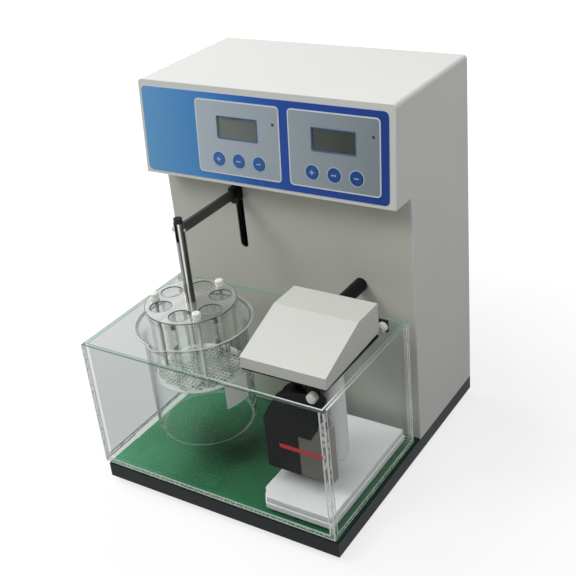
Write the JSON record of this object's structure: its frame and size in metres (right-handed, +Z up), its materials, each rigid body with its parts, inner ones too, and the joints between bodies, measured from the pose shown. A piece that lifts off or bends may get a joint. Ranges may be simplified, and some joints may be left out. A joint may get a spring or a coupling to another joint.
{
  "type": "tablet disintegration tester",
  "caption": "Bench instrument with a control head over a clear water bath, where an arm dips a glass-tube basket into a beaker beside a covered immersion heater.",
  "frame": {"origin": "on the bench, under the middle of the bounding box", "axes": "+Z up, +Y from the front with the tank to the back of the cabinet, +X to the right as seen from the front"},
  "size_m": [0.286, 0.307, 0.392],
  "materials": {
    "black_paint": "satin black powder coat",
    "rubber": "matt",
    "screw_steel": "zinc plated",
    "green_mat": "glossy soft sheet",
    "cabinet_paint": "satin light grey",
    "column_paint": "satin light grey",
    "blue_film": "printed film, satin",
    "grey_film": "printed film, satin",
    "clear_film": "clear plastic pane",
    "display": "dark liquid crystal",
    "key_blue": "satin",
    "led_red": "unlit red lens",
    "circuit_board": "solder mask",
    "iron_core": "laminated",
    "black_plastic": "matt",
    "bracket_steel": "zinc plated",
    "polished_steel": "polished",
    "motor_paint": "satin",
    "machined_aluminium": "machined",
    "bronze": "sintered",
    "arm_paint": "satin dark grey",
    "mirror_steel": "mirror polish",
    "clear_plate": "clear acrylic",
    "tube_glass": "clear glass",
    "mesh_steel": "woven wire",
    "tank_acrylic": "clear, green at the cut edges",
    "beaker_glass": "clear glass",
    "white_plastic": "satin white",
    "white_foam": "closed-cell foam",
    "cover_paint": "satin light grey",
    "guard_steel": "brushed"
  },
  "bodies": {
    "frame": {"base_tray": "black_paint", "feet": "rubber", "foot_screws": "screw_steel", "base_mat": "green_mat", "cabinet_shell": "cabinet_paint", "front_panel": "column_paint", "head_fascia": "cabinet_paint", "rear_cover": "cabinet_paint", "rear_screws": "screw_steel", "control_film": "blue_film", "left_field": "grey_film", "right_field": "grey_film", "windows": "clear_film", "lcd_left": "display", "lcd_right": "display", "indicator_leds": "led_red", "display_board": "circuit_board", "control_board": "circuit_board", "transformer": "iron_core", "power_inlet": "black_plastic", "switch_housing": "black_plastic", "drive_frame": "bracket_steel", "guide_rods": "polished_steel", "gear_motor": "motor_paint", "tank": "tank_acrylic", "beaker_shelf": "tank_acrylic", "beaker": "beaker_glass", "foam_mat": "white_foam", "heater_cover": "cover_paint", "heater_base": "black_plastic", "heater_tube": "white_plastic", "pump_body": "black_plastic", "pump_bracket": "black_plastic", "guard_plate": "guard_steel", "thumb_screws": "white_plastic", "conduit": "black_plastic"},
    "basket_arm": {"slider_block": "machined_aluminium", "slider_bushes": "bronze", "slider_pin": "polished_steel", "arm_bar": "arm_paint", "slot_block": "black_plastic", "hanger_shaft": "polished_steel", "clamp_screws": "white_plastic", "top_disc": "mirror_steel", "upper_plate": "clear_plate", "lower_plate": "clear_plate", "glass_tubes": "tube_glass", "wire_mesh": "mesh_steel", "basket_posts": "polished_steel", "cap_nuts": "white_plastic"},
    "crank_disc": {"crank": "bracket_steel"},
    "connecting_rod_body": {"connecting_rod": "bracket_steel"},
    "rocker": {"power_rocker": "black_plastic"},
    "key_left_1_body": {"key_left_1": "key_blue"},
    "key_left_2_body": {"key_left_2": "key_blue"},
    "key_left_3_body": {"key_left_3": "key_blue"},
    "key_right_1_body": {"key_right_1": "key_blue"},
    "key_right_2_body": {"key_right_2": "key_blue"},
    "key_right_3_body": {"key_right_3": "key_blue"}
  },
  "joints": [
    {"name": "basket_lift", "type": "slide", "parent": "frame", "child": "basket_arm", "axis": [0, 0, 1], "range_m": [-0.055, 0]},
    {"name": "crank_turn", "type": "hinge", "parent": "frame", "child": "crank_disc", "pos_m": [-0.053, 0.0585, 0.1634], "axis": [0, 1, 0], "range_deg": [-1, 181]},
    {"name": "rod_swing", "type": "hinge", "parent": "basket_arm", "child": "connecting_rod_body", "pos_m": [-0.053, 0.048, 0.2749], "axis": [0, 1, 0], "range_deg": [-20, 20]},
    {"name": "power_switch", "type": "hinge", "parent": "frame", "child": "rocker", "pos_m": [0.046, 0.1475, 0.056], "axis": [1, 0, 0], "range_deg": [0, 12]},
    {"name": "key_left_1_press", "type": "slide", "parent": "frame", "child": "key_left_1_body", "axis": [0, 0.9965, -0.083], "range_m": [0, 0.0005], "stiffness_N_per_m": 600, "springref_m": -0.0004},
    {"name": "key_left_2_press", "type": "slide", "parent": "frame", "child": "key_left_2_body", "axis": [0, 0.9965, -0.083], "range_m": [0, 0.0005], "stiffness_N_per_m": 600, "springref_m": -0.0004},
    {"name": "key_left_3_press", "type": "slide", "parent": "frame", "child": "key_left_3_body", "axis": [0, 0.9965, -0.083], "range_m": [0, 0.0005], "stiffness_N_per_m": 600, "springref_m": -0.0004},
    {"name": "key_right_1_press", "type": "slide", "parent": "frame", "child": "key_right_1_body", "axis": [0, 0.9965, -0.083], "range_m": [0, 0.0005], "stiffness_N_per_m": 600, "springref_m": -0.0004},
    {"name": "key_right_2_press", "type": "slide", "parent": "frame", "child": "key_right_2_body", "axis": [0, 0.9965, -0.083], "range_m": [0, 0.0005], "stiffness_N_per_m": 600, "springref_m": -0.0004},
    {"name": "key_right_3_press", "type": "slide", "parent": "frame", "child": "key_right_3_body", "axis": [0, 0.9965, -0.083], "range_m": [0, 0.0005], "stiffness_N_per_m": 600, "springref_m": -0.0004}
  ],
  "couplings": [
    {"joint": "crank_turn", "follows": "basket_lift", "rad_per_m": -57.12}
  ]
}
